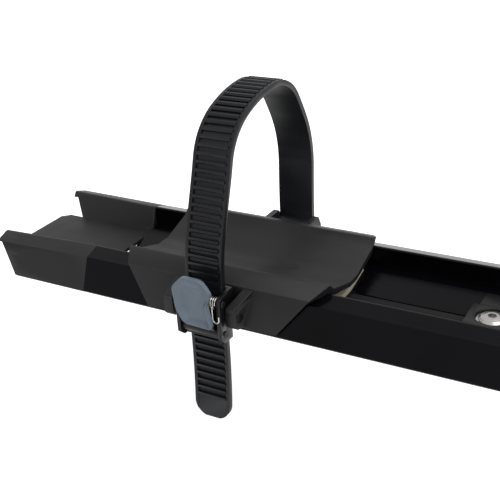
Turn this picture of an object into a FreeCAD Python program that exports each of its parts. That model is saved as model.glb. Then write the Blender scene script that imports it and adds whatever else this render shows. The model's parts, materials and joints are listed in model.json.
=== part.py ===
import FreeCAD, Part
import math
import os
import re
import Sketcher

# Roof bike rack: a long aluminium wheel tray on two screw-down feet, with a sliding rear wheel
# saddle, its ladder strap and ratchet buckle, and a fork head at the front.
# Frame: origin on the rear roof bar's top face under the rear foot's screw, +X to the front of the
# car, +Y to the far side of the strap buckle, +Z up. All sizes are in millimetres.
SIZES = {
    # Tray section, measured from the ridge's top and from the centre plane
    "tray_length": 1303.0, "tray_height": 24.5, "inner_half": 32.0, "ridge_half": 33.6,
    "facet_half": 44.0, "facet_drop": 3.2, "foot_half": 52.0, "lip_rise": 1.4, "lip_step": 1.4,
    "shelf_half": 25.5, "shelf_deep": 13.0, "floor_flat": 4.9, "floor_deep": 18.1,
    "floor_wall": 2.5, "tray_wall": 2.2, "edge_round": 0.8, "tray_rear": 242.9,
    # Milled slots in the tray's floor
    "slot_width": 8.4, "rear_slot_start": -225.0, "rear_slot_end": 190.0,
    "front_slot_setback": 200.1, "front_slot_length": 300.0,
    # Feet: pad on the roof bar, block in the channel, screw and channel nut
    "front_foot_setback": 360.1, "pad_thick": 8.0, "pad_length": 56.0, "pad_half": 38.0, "pad_round": 6.0,
    "pad_rib_half": 30.0, "pad_groove_half": 11.0, "pad_groove_deep": 1.5, "block_length": 26.8,
    "block_half": 11.0, "recess_radius": 9.4, "recess_deep": 3.3, "carrier_reach": 17.0,
    "carrier_start": 10.4,
    "washer_radius": 8.75, "washer_thick": 1.6, "head_radius": 7.5, "head_height": 2.5,
    "shank_radius": 4.0, "socket_across": 4.6, "socket_deep": 2.2, "nut_neck": 2.4,
    "nut_neck_half": 5.3, "nut_thick": 5.0, "nut_length": 30.0, "nut_half": 10.0,
    "screw_end": 10.5, "fit_gap": 0.1, "hole_gap": 0.2, "thread_gap": 0.02,
    # End caps
    "cap_length": 73.0, "cap_flare": 3.6, "cap_dip": 0.6, "cap_floor_deep": 15.3, "cap_floor_wall": 2.2,
    "cap_tongue": 4.5, "cap_side_end": 55.0, "spigot_length": 22.0, "spigot_gap": 0.15,
    "cap_floor_half": 26.6, "cap_screw_inset": 11.0, "cap_screw_line": 42.0, "cap_screw_radius": 1.8,
    "cap_screw_head": 3.6, "cap_screw_head_height": 1.8, "cap_screw_grip": 7.0,
    # Wheel saddle
    "wheel_setback": 148.6, "saddle_rise": 5.3, "saddle_half": 67.0, "saddle_top_half": 60.7,
    "saddle_foot_half": 43.2, "saddle_edge_half": 46.0, "saddle_edge_rise": 0.5,
    "saddle_skirt_half": 54.0, "saddle_skirt_drop": 21.0, "trough_half": 8.5, "trough_drop": 2.3,
    "saddle_wall": 3.0, "saddle_gap": 0.3, "saddle_leg_drop": 11.0,
    "saddle_leg_wall": 2.6, "ear_inner": 20.0, "ear_outer": 26.0, "ear_front": 60.5,
    "ear_top_drop": 5.0, "ear_foot_drop": 19.8, "ear_slope": 4.0, "pocket_half": 17.6,
    "pocket_face": 46.6, "saddle_boss_radius": 4.8, "lug_gap": 0.6,
    # Glide under the saddle and the plate that keeps it on the tray
    "glide_front": 71.0, "glide_rear": 60.0, "glide_half": 24.0, "glide_wall": 3.0,
    "keeper_half_length": 40.0, "keeper_half": 22.0, "keeper_thick": 2.5,
    "keeper_screw_spread": 28.0, "keeper_screw_radius": 2.5, "keeper_head_radius": 4.6,
    "keeper_head_height": 2.2, "keeper_screw_grip": 9.0,
    # Ladder strap
    "strap_width": 23.9, "strap_thick": 3.4, "rung_depth": 1.3, "rung_width": 2.2, "rung_sink": 0.25,
    "rung_pitch": 4.8, "rail_width": 2.2, "strap_plain_end": 14.0, "anchor_half": 57.0,
    "anchor_drop": 8.0, "anchor_pin_radius": 2.5, "anchor_eye_radius": 5.2, "anchor_lug_wall": 4.0,
    "strap_line": 56.0, "tail_line": 59.5, "tail_drop": 85.4, "buckle_foot_drop": 29.0,
    "strap_straight_rise": 5.0,
    # Ratchet buckle
    "cheek_gap": 0.5, "cheek_wall": 2.4, "base_wall": 2.4, "base_gap": 0.4, "tray_clear": 0.8,
    "base_top": 2.0, "cheek_front": 65.0, "lever_pin_line": 61.6, "lever_pin_drop": 3.5,
    "lever_pin_radius": 2.0,
    "hub_radius": 3.6, "pin_gap": 0.05, "pivot_pin_line": 55.8, "pivot_pin_drop": 13.5,
    "pivot_pin_radius": 2.6, "pawl_pin_drop": 22.5, "pawl_pin_line": 61.2, "pawl_pin_radius": 1.5,
    "pawl_hub_radius": 2.8, "rung_clear": 0.3, "keeper_wall": 2.6, "lever_face": 69.6,
    "lever_thick": 3.0, "lever_rim": 1.0, "lever_inset": 0.78, "spring_wire": 0.5, "spring_end": 5.0,
    # Fork head
    "head_setback": 65.1, "fork_spacing": 135.0, "axle_rise": 62.0, "barrel_radius": 14.0,
    "head_base_length": 120.0, "head_base_wall": 6.0, "head_web": 9.0, "web_spread": 34.0,
    "bush_flange_radius": 12.0, "bush_flange": 3.0, "stub_radius": 4.4, "stub_length": 5.0,
    "bush_length": 24.0, "bush_radius": 7.0, "rod_radius": 2.5, "cup_gap": 7.0,
    "cup_radius": 10.0, "cup_thick": 6.0, "cam_radius": 7.0, "cam_gap": 0.3, "cam_pin_radius": 3.0,
    "eye_wall": 1.9, "rod_end": 3.0, "cam_width": 14.0, "cam_lever_length": 62.0,
    "nut_radius": 9.5, "nut_long": 13.0,
    "head_screw_spread": 46.0, "head_screw_radius": 4.0,
}

DERIVED = {
    "ridge": "(pad_thick + tray_height)",
    "tray_front": "(tray_length - tray_rear)",
    "front_foot": "(tray_front - front_foot_setback)",
    "front_slot_end": "(tray_front - front_slot_setback)",
    "front_slot_start": "(front_slot_end - front_slot_length)",
    "head_place": "(tray_front - head_setback)",
    "flank_run": "(foot_half - facet_half)",
    "flank_fall": "(tray_height - lip_rise - facet_drop)",
    "flank_long": "(sqrt(flank_run * flank_run + flank_fall * flank_fall))",
    "wall_run": "(tray_wall * flank_long / flank_fall)",
    "vee_fall": "((floor_deep - shelf_deep) / (shelf_half - floor_flat))",
    "facet_fall": "(facet_drop / (facet_half - ridge_half))",
    "wheel_place": "(-wheel_setback)",
    "strap_half": "(strap_width / 2)",
    "cheek_inner": "(strap_half + cheek_gap)",
    "cheek_outer": "(cheek_inner + cheek_wall)",
}

doc = FreeCAD.newDocument("RoofBikeRack")
sheet = doc.addObject("Spreadsheet::Sheet", "Sizes")
for row, (alias, number) in enumerate(SIZES.items(), start=1):
    sheet.set("A%d" % row, alias)
    sheet.set("B%d" % row, str(number))
    sheet.setAlias("B%d" % row, alias)
doc.recompute()

NODES = []


def cell(text):
    """Write a formula of size names as an expression on the sheet."""
    def swap(match):
        word = match.group(0)
        if word in DERIVED:
            return cell(DERIVED[word])
        if word in SIZES:
            return "Sizes." + word
        return word
    return re.sub(r"[a-z][a-z_]*", swap, str(text))


def size(text):
    """Give a formula's value as a plain number."""
    return float(sheet.evalExpression(cell(text)))


def vector(*texts):
    return FreeCAD.Vector(*[size(text) for text in texts])


def node(name, part):
    part.Label = name
    NODES.append(part)
    return part


def new_body(name, x="0", y="0", z="0"):
    body = doc.addObject("PartDesign::Body", name)
    for axis, text in zip("xyz", (x, y, z)):
        body.setExpression("Placement.Base." + axis, cell(text))
    return node(name, body)


def new_sketch(body, plane, offset="0"):
    origin_plane = [item for item in body.Origin.OriginFeatures if item.Role == plane + "_Plane"][0]
    sketch = body.newObject("Sketcher::SketchObject", body.Name + "_" + plane.lower())
    sketch.AttachmentSupport = [(origin_plane, "")]
    sketch.MapMode = "FlatFace"
    sketch.setExpression("AttachmentOffset.Base.z", cell(offset))
    return sketch


def fix_point(sketch, line, end, point):
    for kind, text in zip(("DistanceX", "DistanceY"), point):
        index = sketch.addConstraint(Sketcher.Constraint(kind, -1, 1, line, end, size(text)))
        sketch.setExpression("Constraints[%d]" % index, cell(text))


def add_outline(sketch, points):
    """Draw one closed outline of straight lines, each corner bound to the sheet."""
    first = sketch.GeometryCount
    count = len(points)
    places = [vector(a, b, "0") for a, b in points]
    for index in range(count):
        sketch.addGeometry(Part.LineSegment(places[index], places[(index + 1) % count]))
    for index in range(count):
        following = first + (index + 1) % count
        sketch.addConstraint(Sketcher.Constraint("Coincident", first + index, 2, following, 1))
    for index, point in enumerate(points):
        fix_point(sketch, first + index, 1, point)


def add_circle(sketch, centre, radius):
    place = vector(centre[0], centre[1], "0")
    index = sketch.addGeometry(Part.Circle(place, FreeCAD.Vector(0, 0, 1), size(radius)))
    fix_point(sketch, index, 3, centre)
    bound = sketch.addConstraint(Sketcher.Constraint("Radius", index, size(radius)))
    sketch.setExpression("Constraints[%d]" % bound, cell(radius))


def add_slot(sketch, start, end, half):
    """Draw a round-ended slot along the sketch's first axis."""
    reach = size(half)
    left, right = vector(start, "0", "0"), vector(end, "0", "0")
    up, axis = FreeCAD.Vector(0, reach, 0), FreeCAD.Vector(0, 0, 1)
    quarter = math.pi / 2
    arc_left = sketch.addGeometry(Part.ArcOfCircle(Part.Circle(left, axis, reach), quarter, 3 * quarter))
    arc_right = sketch.addGeometry(Part.ArcOfCircle(Part.Circle(right, axis, reach), -quarter, quarter))
    low = sketch.addGeometry(Part.LineSegment(left - up, right - up))
    high = sketch.addGeometry(Part.LineSegment(right + up, left + up))
    for arc, line, arc_end, line_end in ((arc_left, low, 2, 1), (arc_right, low, 1, 2),
                                         (arc_right, high, 2, 1), (arc_left, high, 1, 2)):
        sketch.addConstraint(Sketcher.Constraint("Tangent", arc, arc_end, line, line_end))
    sketch.addConstraint(Sketcher.Constraint("Equal", arc_left, arc_right))
    bound = sketch.addConstraint(Sketcher.Constraint("Radius", arc_left, reach))
    sketch.setExpression("Constraints[%d]" % bound, cell(half))
    fix_point(sketch, arc_left, 3, (start, "0"))
    index = sketch.addConstraint(Sketcher.Constraint("DistanceX", -1, 1, arc_right, 3, size(end)))
    sketch.setExpression("Constraints[%d]" % index, cell(end))


def mirrored(points):
    """Close a right half outline with its own mirror image."""
    return points + [("-(%s)" % a, b) for a, b in reversed(points)]


def feature(body, kind, sketch, length=None, middle=False, back=False):
    """Pad or pocket a sketch; without a length a pocket goes right through."""
    item = body.newObject("PartDesign::" + kind, body.Name + "_" + kind.lower())
    item.Profile = sketch
    item.SideType = "Symmetric" if middle else "One side"
    item.Reversed = back
    if length is None:
        item.Type = "ThroughAll"
    else:
        item.setExpression("Length", cell(length))
    return item


def prism(body, plane, loops, length, offset="0", middle=False, back=False):
    sketch = new_sketch(body, plane, offset)
    for loop in loops:
        add_outline(sketch, loop)
    return feature(body, "Pad", sketch, length, middle, back)


def cut(body, plane, loops, length=None, offset="0", middle=True, back=False):
    sketch = new_sketch(body, plane, offset)
    for loop in loops:
        add_outline(sketch, loop)
    return feature(body, "Pocket", sketch, length, middle, back)


def drill(body, plane, centres, radius, length=None, offset="0", middle=True, back=False):
    sketch = new_sketch(body, plane, offset)
    for centre in centres:
        add_circle(sketch, centre, radius)
    return feature(body, "Pocket", sketch, length, middle, back)


def turned(body, plane, points, axis):
    """Revolve an outline about the sketch's horizontal or vertical axis."""
    sketch = new_sketch(body, plane)
    add_outline(sketch, points)
    item = body.newObject("PartDesign::Revolution", body.Name + "_turned")
    item.Profile = sketch
    item.ReferenceAxis = (sketch, [axis])
    item.Angle = 360.0
    return item


def straight(edge, axis):
    """Tell whether an edge is a straight line along X, Y or Z."""
    if not isinstance(edge.Curve, Part.Line):
        return False
    return abs(abs(edge.Curve.Direction["xyz".index(axis)]) - 1) < 1e-6


def near(point, **places):
    """Tell whether a point has the places given as formulas, on either side of the centre plane."""
    for axis, text in places.items():
        found = point["xyz".index(axis)]
        wanted = size(text)
        if axis == "y":
            found, wanted = abs(found), abs(wanted)
        if abs(found - wanted) > 0.02:
            return False
    return True


def rounded(body, radius, chosen, kind="Fillet"):
    """Round or bevel the chosen edges of a body."""
    doc.recompute()
    tip = body.Tip
    names = ["Edge%d" % (index + 1) for index, edge in enumerate(tip.Shape.Edges) if chosen(edge)]
    item = body.newObject("PartDesign::" + kind, body.Name + "_" + kind.lower())
    item.Base = (tip, names)
    item.setExpression("Radius" if kind == "Fillet" else "Size", cell(radius))
    return item


def made(name, shape):
    """Keep a shape that was worked out from the sheet as a sub-part."""
    part = doc.addObject("Part::Feature", name)
    part.Shape = shape
    return node(name, part)


# Tray extrusion
def tray_section():
    return mirrored([
        ("floor_flat", "-floor_deep - floor_wall"), ("shelf_half", "-shelf_deep - floor_wall"),
        ("inner_half", "-shelf_deep - floor_wall"), ("inner_half", "-tray_height"),
        ("foot_half - lip_step", "-tray_height"), ("foot_half", "-tray_height + lip_rise"),
        ("facet_half", "-facet_drop"), ("ridge_half", "0"), ("inner_half", "0"),
        ("inner_half", "-shelf_deep"), ("shelf_half", "-shelf_deep"), ("floor_flat", "-floor_deep"),
    ])


def chamber(gap="0"):
    """Give the hollow beside the channel, drawn in by a gap for what plugs into it."""
    inner = "inner_half + tray_wall + %s" % gap
    low = "-tray_height + tray_wall + %s" % gap
    flank = "facet_half + flank_run * (%s) / flank_fall - wall_run - %s"
    return [
        (inner, low), (flank % ("tray_height - tray_wall - facet_drop", gap), low),
        (flank % ("tray_wall", gap), "-facet_drop - tray_wall - %s" % gap),
        (inner, "-tray_wall * (1 + facet_fall) - %s" % gap),
    ]


def other_side(points):
    return [("-(%s)" % a, b) for a, b in points]


def make_tray():
    tray = new_body("tray", "-tray_rear", "0", "ridge")
    prism(tray, "YZ", [tray_section(), chamber(), other_side(chamber())], "tray_length")
    long_edges = (("ridge_half", "0"), ("inner_half", "0"), ("facet_half", "-facet_drop"),
                  ("shelf_half", "-shelf_deep"), ("foot_half", "-tray_height + lip_rise"))
    rounded(tray, "edge_round", lambda edge: straight(edge, "x") and any(
        near(edge.CenterOfMass, y=y, z=z) for y, z in long_edges))
    for start, end in (("rear_slot_start", "rear_slot_end"), ("front_slot_start", "front_slot_end")):
        sketch = new_sketch(tray, "XY")
        add_slot(sketch, "tray_rear + " + start, "tray_rear + " + end, "slot_width / 2")
        feature(tray, "Pocket", sketch, None, True)
    head_holes = [("tray_rear + head_place %s head_screw_spread / 2" % sign, "0") for sign in "+-"]
    drill(tray, "XY", head_holes, "head_screw_radius + hole_gap")
    cap_holes = [(place, "%scap_screw_line" % sign) for sign in ("", "-")
                 for place in ("cap_screw_inset", "tray_length - cap_screw_inset")]
    drill(tray, "XY", cap_holes, "cap_screw_radius + hole_gap", "4 * tray_wall", "-tray_height")


# Feet: each has a block and carrier in the channel, a screw, a pad and a nut for the bar's channel
def make_foot(side, place):
    block = new_body(side + "_clamp_block", place, "0", "ridge")
    vee_lift = "-floor_deep + fit_gap"
    section = mirrored([
        ("floor_flat", vee_lift),
        ("block_half", "%s + (block_half - floor_flat) * vee_fall" % vee_lift),
        ("block_half", "-shelf_deep"),
    ])
    prism(block, "YZ", [section], "block_length", "0", True)
    drill(block, "XY", [("0", "0")], "recess_radius", "recess_deep", "-shelf_deep", False)
    drill(block, "XY", [("0", "0")], "shank_radius + hole_gap")
    rounded(block, "edge_round", lambda edge: straight(edge, "z") and near(
        edge.CenterOfMass, y="block_half"))

    carrier = new_body(side + "_block_carrier", place, "0", "ridge")
    edge = "shelf_half - 2 * hole_gap"
    section = mirrored([("floor_flat", vee_lift),
                        (edge, "%s + (%s - floor_flat) * vee_fall" % (vee_lift, edge)),
                        ("block_half + 4 * hole_gap", "-shelf_deep")])
    prism(carrier, "YZ", [section], "carrier_start + carrier_reach", "-carrier_start")
    room = "block_half + hole_gap"
    behind = "block_length / 2 + hole_gap"
    cut(carrier, "XY", [[("-carrier_start - 1", "-(%s)" % room), (behind, "-(%s)" % room), (behind, room),
                         ("-carrier_start - 1", room)]])

    recess_floor = "ridge - shelf_deep - recess_deep"
    washer = new_body(side + "_washer", place, "0", recess_floor)
    turned(washer, "XZ", [("shank_radius + hole_gap", "0"), ("washer_radius", "0"),
                          ("washer_radius", "washer_thick"), ("shank_radius + hole_gap", "washer_thick")],
           "V_Axis")
    make_screw(side + "_screw", place, recess_floor + " + washer_thick")
    make_pad(side + "_foot_pad", place)
    make_channel_nut(side + "_channel_nut", place)


def make_screw(name, place, seat):
    """Dome-headed screw: a low arched head with a hexagon socket on a plain shank."""
    screw = new_body(name, place, "0", seat)
    long = "%s + screw_end" % seat
    turned(screw, "XZ", [("0", "-(%s)" % long), ("shank_radius", "-(%s)" % long), ("shank_radius", "0"),
                         ("head_radius", "0"), ("head_radius", "head_height * 0.3"),
                         ("head_radius * 0.82", "head_height * 0.78"), ("head_radius * 0.5", "head_height"),
                         ("0", "head_height")], "V_Axis")
    corner = "socket_across / 1.732"
    hexagon = [("%s * %.4f" % (corner, math.cos(math.radians(60 * turn))),
                "%s * %.4f" % (corner, math.sin(math.radians(60 * turn)))) for turn in range(6)]
    cut(screw, "XY", [hexagon], "socket_deep", "head_height", False)


def make_pad(name, place):
    pad = new_body(name, place, "0", "0")
    inner = "pad_rib_half"
    under = "ridge - shelf_deep - floor_wall - fit_gap"
    centre = "ridge - floor_deep - floor_wall - fit_gap"
    section = mirrored([
        ("pad_half", "0"), ("pad_half", "pad_thick - fit_gap"), (inner, "pad_thick - fit_gap"),
        (inner, under), ("shelf_half", under), ("floor_flat", centre),
    ])
    prism(pad, "YZ", [section], "pad_length", "0", True)
    # Groove over the mouth of the roof bar's channel, so that the pad rests on its two sides
    cut(pad, "XZ", [[("-pad_groove_half", "-pad_groove_deep"), ("pad_groove_half", "-pad_groove_deep"),
                     ("pad_groove_half", "pad_groove_deep"), ("-pad_groove_half", "pad_groove_deep")]])
    drill(pad, "XY", [("0", "0")], "shank_radius + hole_gap")
    rounded(pad, "pad_round", lambda edge: straight(edge, "z") and near(edge.CenterOfMass, y="pad_half"))


def make_channel_nut(name, place):
    """Tee nut: its neck stands in the mouth of the roof bar's channel."""
    nut = new_body(name, place, "0", "-fit_gap")
    neck, body = "nut_neck", "nut_neck + nut_thick"
    section = mirrored([("nut_half", "-(%s)" % body), ("nut_half", "-(%s)" % neck),
                        ("nut_neck_half", "-(%s)" % neck), ("nut_neck_half", "0")])
    prism(nut, "XZ", [section], "nut_length", "0", True)
    drill(nut, "XY", [("0", "0")], "shank_radius + thread_gap")


# End caps: a shovel-shaped ramp at the rear, and the same mould turned round at the front
def cap_section(flare, dip):
    """Section of a cap: the tray's outside with a flat floor, flared by an amount at its end."""
    return mirrored([
        ("cap_floor_half", "-cap_floor_deep - cap_floor_wall"),
        ("inner_half", "-cap_floor_deep - cap_floor_wall"), ("inner_half", "-tray_height"),
        ("foot_half - lip_step", "-tray_height"), ("foot_half", "-tray_height + lip_rise"),
        ("facet_half + %s * 0.6" % flare, "-facet_drop - %s" % dip),
        ("ridge_half + %s" % flare, "-%s" % dip),
        ("inner_half + %s" % flare, "-%s" % dip), ("cap_floor_half", "-cap_floor_deep"),
    ])


def make_cap(name, length, place, flip):
    cap = new_body(name, place, "0", "ridge")
    front = new_sketch(cap, "YZ")
    add_outline(front, cap_section("0", "0"))
    rear = new_sketch(cap, "YZ", "-(%s)" % length)
    add_outline(rear, cap_section("cap_flare", "cap_dip"))
    loft = cap.newObject("PartDesign::AdditiveLoft", name + "_loft")
    loft.Profile = front
    loft.Sections = [rear]
    loft.Ruled = True
    tongue = new_sketch(cap, "XY", "-cap_floor_deep - cap_floor_wall")
    tip, root = "-(%s) - cap_tongue" % length, "-(%s) + 1" % length
    add_outline(tongue, [(tip, "-cap_floor_half + cap_tongue"), (root, "-cap_floor_half"),
                         (root, "cap_floor_half"), (tip, "cap_floor_half - cap_tongue")])
    feature(cap, "Pad", tongue, "cap_floor_wall")
    for side in ("1", "-1"):
        rake = new_sketch(cap, "XZ", "-(%s) * cap_floor_half" % side)
        beyond = "-(%s) - 1" % length
        add_outline(rake, [(beyond, "-facet_drop - 1"), ("-(%s) + 3.5" % length, "-facet_drop - cap_dip"),
                           ("-cap_side_end", "-tray_height - 1"), (beyond, "-tray_height - 1")])
        feature(cap, "Pocket", rake, "foot_half", False, side == "-1")
    for points in (chamber("spigot_gap"), other_side(chamber("spigot_gap"))):
        prism(cap, "YZ", [points], "spigot_length")
    drill(cap, "XY", [("cap_screw_inset", "cap_screw_line"), ("cap_screw_inset", "-cap_screw_line")],
          "cap_screw_radius + thread_gap", "2 * (tray_wall + cap_screw_grip)", "-tray_height")
    if flip:
        cap.Placement.Rotation = FreeCAD.Rotation(FreeCAD.Vector(0, 0, 1), 180)


def make_cap_screws():
    """Two screws from below through the tray's underside into each cap's spigots."""
    screws = []
    for place in ("cap_screw_inset - tray_rear", "tray_front - cap_screw_inset"):
        for line in ("cap_screw_line", "-cap_screw_line"):
            screws.append(plain_screw("cap_screw_radius", "tray_wall + cap_screw_grip - 1", "cap_screw_head",
                                      "cap_screw_head_height", (place, line, "pad_thick"), 1))
    made("end_cap_screws", Part.makeCompound(screws))


# Wheel saddle: a moulding that straddles the tray and carries the strap and its buckle
def saddle_section():
    under_edge = "facet_half + saddle_gap"
    return mirrored([
        ("trough_half", "-trough_drop - saddle_wall"), ("inner_half - saddle_leg_wall - saddle_gap", "0"),
        ("inner_half - saddle_leg_wall - saddle_gap", "-saddle_leg_drop"),
        ("inner_half - saddle_gap", "-saddle_leg_drop"), ("inner_half - saddle_gap", "saddle_gap"),
        ("ridge_half + saddle_gap", "saddle_gap"),
        (under_edge, "-facet_drop + saddle_gap"),
        ("facet_half + saddle_gap * 1.1 + flank_run * (saddle_skirt_drop - facet_drop) / flank_fall",
         "-saddle_skirt_drop"),
        ("saddle_skirt_half", "-saddle_skirt_drop"), ("saddle_edge_half", "saddle_edge_rise"),
        ("ridge_half + 1", "saddle_rise"), ("ridge_half - 1", "saddle_rise"),
        ("trough_half", "-trough_drop"),
    ])


def make_saddle():
    saddle = new_body("wheel_saddle", "wheel_place", "0", "ridge")
    prism(saddle, "YZ", [saddle_section()], "2 * saddle_half", "0", True)
    for side in ("1", "-1"):
        cut(saddle, "XZ", [[
            ("(%s) * (saddle_half + 1)" % side, "saddle_rise + 1"),
            ("(%s) * saddle_half" % side, "saddle_rise"),
            ("(%s) * saddle_top_half" % side, "saddle_edge_rise"),
            ("(%s) * saddle_foot_half" % side, "-saddle_skirt_drop"),
            ("(%s) * (saddle_foot_half - 1)" % side, "-saddle_skirt_drop - 1"),
            ("(%s) * (saddle_half + 1)" % side, "-saddle_skirt_drop - 1")]])
    # Pockets for the buckle and the anchor, then the ears and lugs that hold their pins
    for side in ("1", "-1"):
        face, outside = "(%s) * pocket_face" % side, "(%s) * (saddle_skirt_half + 1)" % side
        cut(saddle, "XY", [[("-pocket_half", face), ("pocket_half", face), ("pocket_half", outside),
                            ("-pocket_half", outside)]], "2 * (saddle_skirt_drop + saddle_rise)")
    for side in ("1", "-1"):
        ear = new_sketch(saddle, "YZ", "(%s) * (ear_inner + ear_outer) / 2" % side)
        add_outline(ear, [("-ear_front", "-ear_top_drop - ear_slope"),
                          ("-ear_front + ear_slope", "-ear_top_drop"),
                          ("-saddle_edge_half - 1", "-ear_top_drop + 1"),
                          ("-saddle_skirt_half + 1", "-ear_foot_drop"),
                          ("-ear_front + 2", "-ear_foot_drop"), ("-ear_front", "-ear_foot_drop + 2")])
        feature(saddle, "Pad", ear, "ear_outer - ear_inner", True)
        lug = new_sketch(saddle, "YZ", "(%s) * (strap_half + lug_gap + anchor_lug_wall / 2)" % side)
        beside = "facet_half + 2 * saddle_gap"
        add_outline(lug, [(beside, "0"), ("anchor_half + 2", "0"),
                          ("anchor_half + anchor_eye_radius", "-anchor_drop + 2"),
                          ("anchor_half + anchor_eye_radius", "-anchor_drop - 3"),
                          ("saddle_skirt_half", "-saddle_skirt_drop"),
                          ("%s + flank_run * (saddle_skirt_drop - facet_drop) / flank_fall" % beside,
                           "-saddle_skirt_drop"), (beside, "-facet_drop")])
        feature(saddle, "Pad", lug, "anchor_lug_wall", True)
    # Bosses under the trough that the keeper screws cut into
    spread = [("keeper_screw_spread", "0"), ("-keeper_screw_spread", "0")]
    glide_top = "-floor_deep + fit_gap + glide_wall"
    for centre in spread:
        boss = new_sketch(saddle, "XY", "%s + fit_gap" % glide_top)
        add_circle(boss, centre, "saddle_boss_radius")
        feature(saddle, "Pad", boss, "-trough_drop - saddle_wall / 2 - (%s) - fit_gap" % glide_top)
    drill(saddle, "XY", spread, "keeper_screw_radius + thread_gap",
          "2 * (keeper_screw_grip - fit_gap)", "%s + fit_gap" % glide_top)
    bore = new_sketch(saddle, "YZ")
    add_circle(bore, ("-pivot_pin_line", "-pivot_pin_drop"), "pivot_pin_radius + pin_gap")
    feature(saddle, "Pocket", bore, "2 * saddle_half", True)
    bore = new_sketch(saddle, "YZ")
    add_circle(bore, ("anchor_half", "-anchor_drop"), "anchor_pin_radius + pin_gap")
    feature(saddle, "Pocket", bore, "2 * saddle_half", True)


def make_glide():
    """Nylon glide in the channel, the plate below the slot and the screws that join them."""
    glide = new_body("saddle_glide", "wheel_place", "0", "ridge")
    lift = "-floor_deep + fit_gap"
    section = mirrored([
        ("floor_flat", lift), ("glide_half", "%s + (glide_half - floor_flat) * vee_fall" % lift),
        ("glide_half", "%s + (glide_half - floor_flat) * vee_fall + glide_wall" % lift),
        ("floor_flat", "%s + glide_wall" % lift)])
    prism(glide, "YZ", [section], "glide_front + glide_rear", "-glide_rear")
    tongue = [("-slot_width / 2 + hole_gap", "-floor_deep - floor_wall"), ("slot_width / 2 - hole_gap",
              "-floor_deep - floor_wall"), ("slot_width / 2 - hole_gap", "-floor_deep + glide_wall / 2"),
              ("-slot_width / 2 + hole_gap", "-floor_deep + glide_wall / 2")]
    prism(glide, "YZ", [tongue], "2 * keeper_half_length", "0", True)
    spread = [("keeper_screw_spread", "0"), ("-keeper_screw_spread", "0")]
    drill(glide, "XY", spread, "keeper_screw_radius + hole_gap")

    plate = new_body("saddle_keeper_plate", "wheel_place", "0", "ridge")
    high = "-floor_deep - floor_wall - fit_gap"
    rise = "(keeper_half - floor_flat) * vee_fall"
    section = mirrored([("floor_flat", "%s - keeper_thick" % high),
                        ("keeper_half", "%s + %s - keeper_thick" % (high, rise)),
                        ("keeper_half", "%s + %s" % (high, rise)), ("floor_flat", high)])
    prism(plate, "YZ", [section], "2 * keeper_half_length", "0", True)
    drill(plate, "XY", spread, "keeper_screw_radius + hole_gap")

    under = "-floor_deep - floor_wall - fit_gap - keeper_thick"
    top = "-floor_deep + fit_gap + glide_wall + keeper_screw_grip - 0.5"
    screws = [plain_screw("keeper_screw_radius", "%s - (%s)" % (top, under), "keeper_head_radius",
                          "keeper_head_height", ("wheel_place + %s" % x, "0", "ridge + %s" % under), 1)
              for x, _ in spread]
    made("saddle_keeper_screws", Part.makeCompound(screws))


def plain_screw(radius, length, head_radius, head_height, seat, way):
    """Pan-headed screw whose shank leaves its seat upwards (way 1) or downwards (way -1)."""
    shank, reach = size(radius), size(length)
    head, high = size(head_radius), size(head_height)
    outline = [(0, reach), (shank, reach), (shank, 0), (head, 0), (head, -high), (0, -high), (0, reach)]
    profile = Part.Face(Part.makePolygon([FreeCAD.Vector(a, 0, way * b) for a, b in outline]))
    axis = FreeCAD.Vector(0, 0, 1)
    screw = profile.revolve(FreeCAD.Vector(0, 0, 0), axis, 360)
    corner = head * 0.42
    corners = [FreeCAD.Vector(corner * math.cos(math.radians(60 * turn)),
                              corner * math.sin(math.radians(60 * turn)), -way * high) for turn in range(7)]
    socket = Part.Face(Part.makePolygon(corners)).extrude(axis * way * high * 0.55)
    screw = screw.cut(socket)
    screw.translate(vector(*seat))
    return screw


# Ladder strap: a band with rungs between two plain rails, from the far anchor in a loop over the
# saddle and down through the buckle
# Places of the loop's outer face, seen along the tray: across it and above its ridge
STRAP_LINE = [(-44.0, 55), (-29.2, 86.6), (-1, 99.4), (33, 97.6), (55.5, 70)]


def arc_link(start, end, direction):
    """An arc from start to end that leaves start along a direction; gives it and its last direction."""
    chord = end - start
    side = FreeCAD.Vector(0, direction.z, -direction.y)
    lean = chord.dot(side)
    along = (chord * (2 * chord.dot(direction) / chord.dot(chord)) - direction).normalize()
    if abs(lean) < 1e-6 * chord.Length:
        return (start, end, None, direction), along
    return (start, end, start + side * (chord.dot(chord) / (2 * lean)), direction), along


def two_arcs(start, end, first, last):
    """Two arcs that leave start along first, meet smoothly and reach end along last."""
    chord = end - start
    both, turn = first + last, 2 * (1 - first.dot(last))
    if turn < 1e-9:
        reach = chord.dot(chord) / (2 * chord.dot(both))
    else:
        reach = (math.sqrt(chord.dot(both) ** 2 + turn * chord.dot(chord)) - chord.dot(both)) / turn
    middle = (start + first * reach + end - last * reach) * 0.5
    link, direction = arc_link(start, middle, first)
    return [link, arc_link(middle, end, direction)[0]]


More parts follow.
